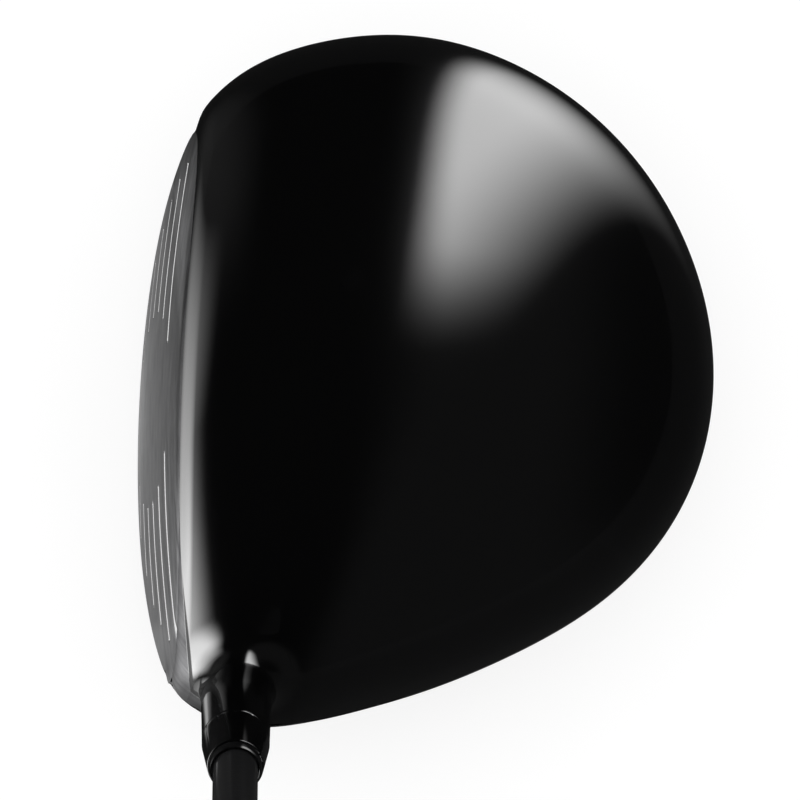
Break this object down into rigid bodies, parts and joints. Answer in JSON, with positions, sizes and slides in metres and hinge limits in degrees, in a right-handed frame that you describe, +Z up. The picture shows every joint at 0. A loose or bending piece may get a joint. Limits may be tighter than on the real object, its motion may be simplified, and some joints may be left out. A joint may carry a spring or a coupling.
{
  "type": "golf driver",
  "caption": "Golf driver with a large hollow head, score-lined face, adjustable hosel sleeve, removable sole weights, long tapered shaft and rubber grip.",
  "frame": {"origin": "centre of the flat land on the sole, on the ground plane, with the club in its address position", "axes": "+X from the face to the back of the head, +Y from the heel to the toe, +Z up; the shaft leans 60 degrees from the ground towards -Y"},
  "size_m": [0.1056, 0.6907, 1.0092],
  "materials": {
    "gloss_black_lacquer": "black high-gloss lacquer over titanium",
    "brushed_titanium": "brushed heel to toe, with painted score lines",
    "satin_titanium": "satin",
    "cast_titanium": "as cast and machined",
    "dark_steel": "blackened, machined",
    "tungsten_alloy": "fine turned",
    "anodised_aluminium": "black anodised, satin gloss",
    "black_plastic": "polished",
    "nylon": "natural",
    "shaft_carbon": "clear-coated dark carbon fibre",
    "brass": "turned",
    "grip_rubber": "matte, textured",
    "paper_tape": "masking tape"
  },
  "bodies": {
    "head": {"crown_shell": "gloss_black_lacquer", "hosel_neck": "gloss_black_lacquer", "sole_shell": "satin_titanium", "face_plate": "brushed_titanium", "toe_weight_port": "cast_titanium", "heel_weight_port": "cast_titanium"},
    "washer": {"screw_washer": "dark_steel"},
    "hosel_screw": {"hosel_screw": "dark_steel", "screw_clip": "nylon"},
    "loft_ring": {"loft_ring": "anodised_aluminium"},
    "club_shaft": {"adaptor_sleeve": "anodised_aluminium", "ferrule": "black_plastic", "shaft": "shaft_carbon", "shaft_tip_plug": "brass", "grip_tape": "paper_tape", "grip": "grip_rubber", "grip_cap": "grip_rubber"},
    "toe_weight": {"toe_weight": "tungsten_alloy"},
    "toe_weight_screw": {"toe_weight_screw": "dark_steel"},
    "heel_weight": {"heel_weight": "tungsten_alloy"},
    "heel_weight_screw": {"heel_weight_screw": "dark_steel"}
  },
  "joints": [
    {"name": "screw_back_out", "type": "slide", "parent": "head", "child": "washer", "axis": [0, 0.5, -0.866], "range_m": [0, 0.008]},
    {"name": "hosel_screw_turn", "type": "hinge", "parent": "washer", "child": "hosel_screw", "pos_m": [-0.027, -0.034, -0.00012], "axis": [0, 0.5, -0.866], "range_deg": [0, 3600.5]},
    {"name": "sleeve_lift", "type": "slide", "parent": "head", "child": "loft_ring", "axis": [0, -0.5, 0.866], "range_m": [0, 0.04]},
    {"name": "sleeve_index", "type": "hinge", "parent": "loft_ring", "child": "club_shaft", "pos_m": [-0.027, -0.034, -0.00012], "axis": [0, -0.5, 0.866], "continuous": true},
    {"name": "toe_weight_out", "type": "slide", "parent": "head", "child": "toe_weight", "axis": [0.1675, 0.4022, -0.9001], "range_m": [0, 0.0098]},
    {"name": "toe_weight_screw_turn", "type": "hinge", "parent": "toe_weight", "child": "toe_weight_screw", "pos_m": [0.01892, 0.0418, 0.00591], "axis": [0.1675, 0.4022, -0.9001], "range_deg": [0, 5040.5]},
    {"name": "heel_weight_out", "type": "slide", "parent": "head", "child": "heel_weight", "axis": [0.2028, -0.3207, -0.9252], "range_m": [0, 0.0098]},
    {"name": "heel_weight_screw_turn", "type": "hinge", "parent": "heel_weight", "child": "heel_weight_screw", "pos_m": [0.0219, -0.03084, 0.00427], "axis": [0.2028, -0.3207, -0.9252], "range_deg": [0, 5040.5]}
  ],
  "couplings": [
    {"joint": "hosel_screw_turn", "follows": "screw_back_out", "rad_per_m": 7854},
    {"joint": "toe_weight_screw_turn", "follows": "toe_weight_out", "rad_per_m": 8976},
    {"joint": "heel_weight_screw_turn", "follows": "heel_weight_out", "rad_per_m": 8976}
  ]
}
